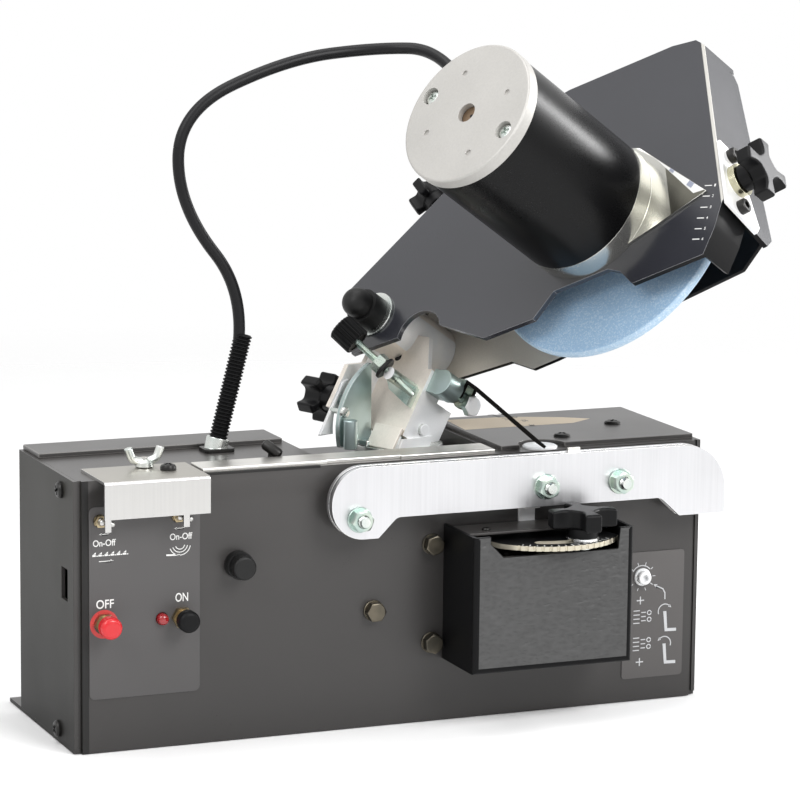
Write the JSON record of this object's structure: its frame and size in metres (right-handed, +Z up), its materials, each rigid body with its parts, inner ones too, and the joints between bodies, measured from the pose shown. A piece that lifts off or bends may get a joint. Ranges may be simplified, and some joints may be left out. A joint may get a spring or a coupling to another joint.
{
  "type": "chainsaw chain sharpener",
  "caption": "Bench chain sharpener: sheet-metal case with chain guide and feed housing, and a grinding head with motor and wheel that turns, leans and swings on a column.",
  "frame": {"origin": "middle of the case's underside", "axes": "+X along the chain guide to the right, +Y to the back, +Z up"},
  "size_m": [0.3629, 0.2262, 0.3451],
  "materials": {
    "black_case": "satin dark powder coat",
    "label_grey": "printed overlay",
    "bright_sheet": "brushed",
    "zinc": "zinc plated",
    "black_screws": "black oxide",
    "brass": "turned",
    "red_cap": "gloss",
    "red_lamp": "gloss lens",
    "black_plastic": "moulded",
    "rubber": "matt",
    "wrinkle_grey": "wrinkle paint",
    "stainless": "brushed stainless",
    "arm_blue_grey": "satin blue-grey",
    "motor_black": "satin black",
    "cast_cap": "cast",
    "steel": "turned",
    "iron": "laminations",
    "abrasive": "bonded grit",
    "board": "circuit board",
    "cable_black": "cable jacket"
  },
  "bodies": {
    "case": {"base_pan": "black_case", "front_panel": "black_case", "left_end_panel": "black_case", "right_end_panel": "black_case", "rear_panel": "black_case", "top_deck": "black_case", "left_cover": "black_case", "right_cover": "black_case", "slide_strip": "bright_sheet", "switch_angle": "bright_sheet", "panel_plates": "label_grey", "switch_bodies": "brass", "indicator_lamp": "red_lamp", "front_bumper": "rubber", "adjuster_screw": "zinc", "hex_bolts": "zinc", "case_screws": "black_screws", "guide_front_plate": "bright_sheet", "guide_rear_plate": "bright_sheet", "guide_nuts": "zinc", "feed_housing": "wrinkle_grey", "feed_scale": "bright_sheet", "feed_gearmotor": "motor_black", "control_board": "board", "power_inlet": "black_plastic", "cable_sleeve": "black_plastic", "sleeve_clip": "bright_sheet", "motor_cable": "cable_black"},
    "peg": {"slider_peg": "black_screws"},
    "wing": {"wing_nut": "zinc"},
    "stop_push": {"stop_button": "red_cap"},
    "start_push": {"start_button": "black_plastic"},
    "left_toggle": {"left_toggle_lever": "bright_sheet"},
    "right_toggle": {"right_toggle_lever": "bright_sheet"},
    "feed_clamp": {"feed_lever": "zinc"},
    "feed_turn": {"feed_knob": "black_plastic"},
    "feed_drive": {"feed_crank": "steel"},
    "turntable": {"swivel_base": "zinc", "tilt_quadrant": "zinc"},
    "column": {"tilt_yoke": "stainless", "stop_block": "zinc", "stop_clevis": "zinc"},
    "lean_lock": {"tilt_knob": "black_plastic"},
    "stop_adjust": {"stop_screw": "zinc"},
    "finger": {"stop_finger": "steel"},
    "arm": {"arm_plate": "arm_blue_grey", "arm_guard": "motor_black", "pivot_bolt": "zinc", "pivot_cap": "rubber", "motor_flange": "stainless", "motor_can": "motor_black", "motor_end_cap": "cast_cap", "arm_screws": "black_screws", "motor_stator": "iron", "guard_boss": "bright_sheet"},
    "spindle": {"rotor_shaft": "steel", "grinding_wheel": "abrasive", "wheel_flanges": "steel"},
    "guard_turn": {"guard_knob": "black_plastic"},
    "arm_turn": {"arm_knob": "black_plastic"}
  },
  "joints": [
    {"name": "head_swivel", "type": "hinge", "parent": "case", "child": "turntable", "pos_m": [0.03, 0.026, 0.127], "axis": [0, 0, 1], "range_deg": [-55, 15], "deforming": ["motor_cable"]},
    {"name": "head_tilt", "type": "hinge", "parent": "turntable", "child": "column", "pos_m": [0.03, 0.026, 0.14], "axis": [0.342, -0.9397, 0], "range_deg": [-3, 24], "deforming": ["motor_cable"]},
    {"name": "arm_swing", "type": "hinge", "parent": "column", "child": "arm", "pos_m": [0.03699, 0.04816, 0.18623], "axis": [-0.7969, -0.29, 0.5299], "range_deg": [-24, 15], "deforming": ["motor_cable"]},
    {"name": "wheel_spin", "type": "hinge", "parent": "arm", "child": "spindle", "pos_m": [0.11427, -0.05002, 0.24871], "axis": [-0.7969, -0.29, 0.5299], "continuous": true},
    {"name": "lock_knob_turn", "type": "hinge", "parent": "column", "child": "lean_lock", "pos_m": [-0.00007, 0.03634, 0.15315], "axis": [0.342, -0.9397, 0], "continuous": true},
    {"name": "stop_screw_turn", "type": "hinge", "parent": "column", "child": "stop_adjust", "pos_m": [0.02018, 0.01077, 0.1687], "axis": [0.5308, -0.5834, -0.6147], "continuous": true},
    {"name": "finger_flip", "type": "hinge", "parent": "column", "child": "finger", "pos_m": [0.05491, 0.00793, 0.15813], "axis": [-0.7969, -0.29, 0.5299], "range_deg": [0, 45]},
    {"name": "guard_knob_turn", "type": "hinge", "parent": "arm", "child": "guard_turn", "pos_m": [0.15062, -0.1166, 0.27919], "axis": [0.562, -0.6777, 0.4742], "continuous": true},
    {"name": "arm_knob_turn", "type": "hinge", "parent": "arm", "child": "arm_turn", "pos_m": [0.0699, 0.05426, 0.24283], "axis": [-0.0416, 0.9014, 0.4309], "continuous": true},
    {"name": "wing_nut_turn", "type": "hinge", "parent": "case", "child": "wing", "pos_m": [-0.128, -0.028, 0.14], "axis": [0, 0, 1], "continuous": true},
    {"name": "left_toggle_flip", "type": "hinge", "parent": "case", "child": "left_toggle", "pos_m": [-0.157, -0.0496, 0.116], "axis": [0, 0, 1], "range_deg": [-52, 0]},
    {"name": "right_toggle_flip", "type": "hinge", "parent": "case", "child": "right_toggle", "pos_m": [-0.117, -0.0496, 0.116], "axis": [0, 0, 1], "range_deg": [-52, 0]},
    {"name": "stop_press", "type": "slide", "parent": "case", "child": "stop_push", "axis": [0, 1, 0], "range_m": [0, 0.0025], "stiffness_N_per_m": 400, "springref_m": -0.0005},
    {"name": "start_press", "type": "slide", "parent": "case", "child": "start_push", "axis": [0, 1, 0], "range_m": [0, 0.0025], "stiffness_N_per_m": 400, "springref_m": -0.0005},
    {"name": "feed_clamp_swing", "type": "hinge", "parent": "case", "child": "feed_clamp", "pos_m": [0.076, -0.052, 0.092], "axis": [0, 0, 1], "range_deg": [-43, 3]},
    {"name": "feed_knob_turn", "type": "hinge", "parent": "feed_clamp", "child": "feed_turn", "pos_m": [0.08626, -0.08019, 0.1], "axis": [0, 0, 1], "continuous": true},
    {"name": "feed_crank_turn", "type": "hinge", "parent": "case", "child": "feed_drive", "pos_m": [0.0695, -0.05, 0.062], "axis": [0, 1, 0], "continuous": true},
    {"name": "peg_slide", "type": "slide", "parent": "case", "child": "peg", "axis": [1, 0, 0], "range_m": [-0.019, 0.015]}
  ]
}
